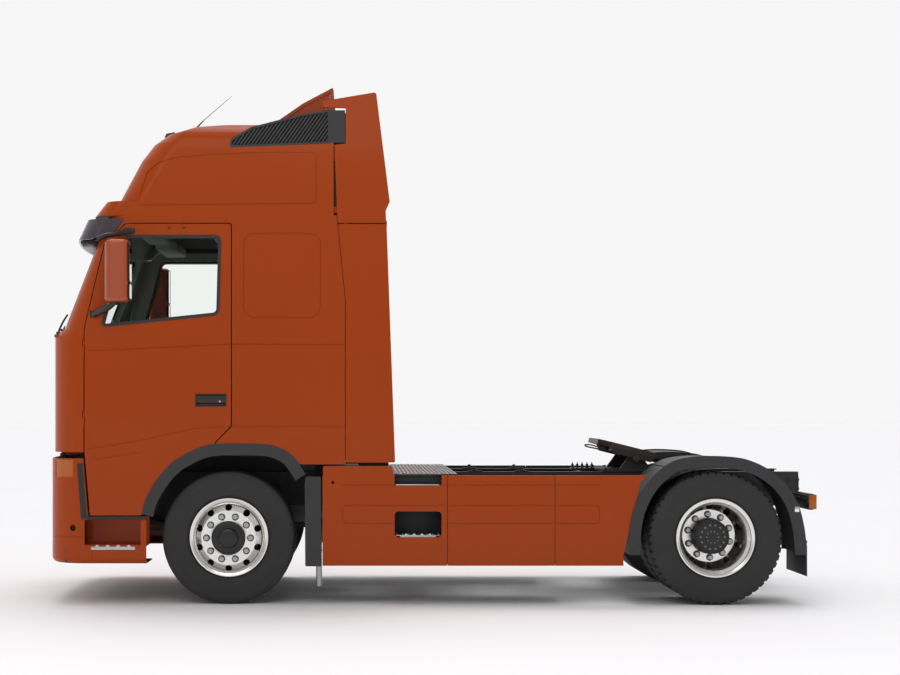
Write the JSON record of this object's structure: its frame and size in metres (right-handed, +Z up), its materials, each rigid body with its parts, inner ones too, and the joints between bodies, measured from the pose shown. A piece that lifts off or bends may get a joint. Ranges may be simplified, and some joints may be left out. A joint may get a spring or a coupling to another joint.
{
  "type": "semi truck tractor unit",
  "caption": "High-roof cab-over road tractor with a tilting sleeper cab, opening doors, steered front wheels, twin rear wheels and a tilting fifth wheel.",
  "frame": {"origin": "on the ground, at the middle of the length and width of the bounding box", "axes": "+X forward, towards the windscreen; +Y to the truck's left; +Z up"},
  "size_m": [5.945, 2.96, 3.9505],
  "materials": {
    "paint": "glossy orange-red paint",
    "dark_plastic": "dark grey moulded plastic",
    "windscreen_glass": "tinted laminated glass",
    "glass": "tinted glass",
    "mirror_housing": "painted housing",
    "smoked_visor": "smoked purple-grey plastic",
    "seat_cloth": "dark grey woven cloth",
    "bunk_cloth": "grey woven cloth",
    "dashboard_plastic": "grained plastic",
    "chassis_steel": "semi-matt dark grey paint",
    "cast_iron": "painted casting",
    "cast_alloy": "as-cast alloy",
    "lamp_lens": "clear and amber lens",
    "polished_alloy": "polished alloy",
    "tyre": "rubber"
  },
  "bodies": {
    "chassis": {"frame": "chassis_steel", "bumper": "paint", "lamps": "lamp_lens", "front_axle": "chassis_steel", "rear_axle": "cast_iron", "suspension": "chassis_steel", "engine": "cast_iron", "gearbox": "cast_alloy", "front_mudguards": "dark_plastic", "side_skirts": "paint", "tanks": "polished_alloy", "treads": "polished_alloy", "fifth_wheel_stand": "chassis_steel", "rear_mudguards": "dark_plastic", "couplings": "dark_plastic"},
    "cab": {"cab_shell": "paint", "high_roof": "paint", "windscreen": "windscreen_glass", "sun_visor": "smoked_visor", "air_deflectors": "paint", "roof_louvres": "dark_plastic", "arch_flares": "dark_plastic", "wipers": "dark_plastic", "roof_fittings": "dark_plastic", "seats": "seat_cloth", "bunk": "bunk_cloth", "dashboard": "dashboard_plastic"},
    "lid": {"front_panel": "paint"},
    "door_left_body": {"door_left": "paint", "glass_left": "glass", "mirror_left": "mirror_housing"},
    "door_right_body": {"door_right": "paint", "glass_right": "glass", "mirror_right": "mirror_housing"},
    "coupling_plate": {"fifth_wheel": "cast_iron"},
    "knuckle_left_body": {"knuckle_left": "cast_iron"},
    "knuckle_right_body": {"knuckle_right": "cast_iron"},
    "wheel_front_left": {"rim_front_left": "polished_alloy", "tyre_front_left": "tyre"},
    "wheel_front_right": {"rim_front_right": "polished_alloy", "tyre_front_right": "tyre"},
    "wheels_rear_left": {"rims_rear_left": "polished_alloy", "tyres_rear_left": "tyre"},
    "wheels_rear_right": {"rims_rear_right": "polished_alloy", "tyres_rear_right": "tyre"}
  },
  "joints": [
    {"name": "cab_tilt", "type": "hinge", "parent": "chassis", "child": "cab", "pos_m": [2.927, 0, 1.125], "axis": [0, 1, 0], "range_deg": [0, 60]},
    {"name": "lid", "type": "hinge", "parent": "cab", "child": "lid", "pos_m": [2.948, 0, 2.027], "axis": [0, -1, 0], "range_deg": [0, 75]},
    {"name": "door_left", "type": "hinge", "parent": "cab", "child": "door_left_body", "pos_m": [2.65, 1.238, 1.69], "axis": [0, 0, -1], "range_deg": [0, 75]},
    {"name": "door_right", "type": "hinge", "parent": "cab", "child": "door_right_body", "pos_m": [2.65, -1.238, 1.69], "axis": [0, 0, 1], "range_deg": [0, 75]},
    {"name": "steer_left", "type": "hinge", "parent": "chassis", "child": "knuckle_left_body", "pos_m": [1.555, 0.905, 0.507], "axis": [0, 0, 1], "range_deg": [-40, 40]},
    {"name": "steer_right", "type": "hinge", "parent": "chassis", "child": "knuckle_right_body", "pos_m": [1.555, -0.905, 0.507], "axis": [0, 0, 1], "range_deg": [-40, 40]},
    {"name": "spin_front_left", "type": "hinge", "parent": "knuckle_left_body", "child": "wheel_front_left", "pos_m": [1.555, 1.014, 0.507], "axis": [0, 1, 0], "continuous": true},
    {"name": "spin_front_right", "type": "hinge", "parent": "knuckle_right_body", "child": "wheel_front_right", "pos_m": [1.555, -1.014, 0.507], "axis": [0, 1, 0], "continuous": true},
    {"name": "spin_rear_left", "type": "hinge", "parent": "chassis", "child": "wheels_rear_left", "pos_m": [-2.145, 0.9185, 0.507], "axis": [0, 1, 0], "continuous": true},
    {"name": "spin_rear_right", "type": "hinge", "parent": "chassis", "child": "wheels_rear_right", "pos_m": [-2.145, -0.9185, 0.507], "axis": [0, 1, 0], "continuous": true},
    {"name": "fifth_wheel_tilt", "type": "hinge", "parent": "chassis", "child": "coupling_plate", "pos_m": [-1.661, 0, 1.093], "axis": [0, 1, 0], "range_deg": [0, 26]}
  ],
  "couplings": [
    {"joint": "steer_right", "follows": "steer_left", "ratio": 1}
  ]
}
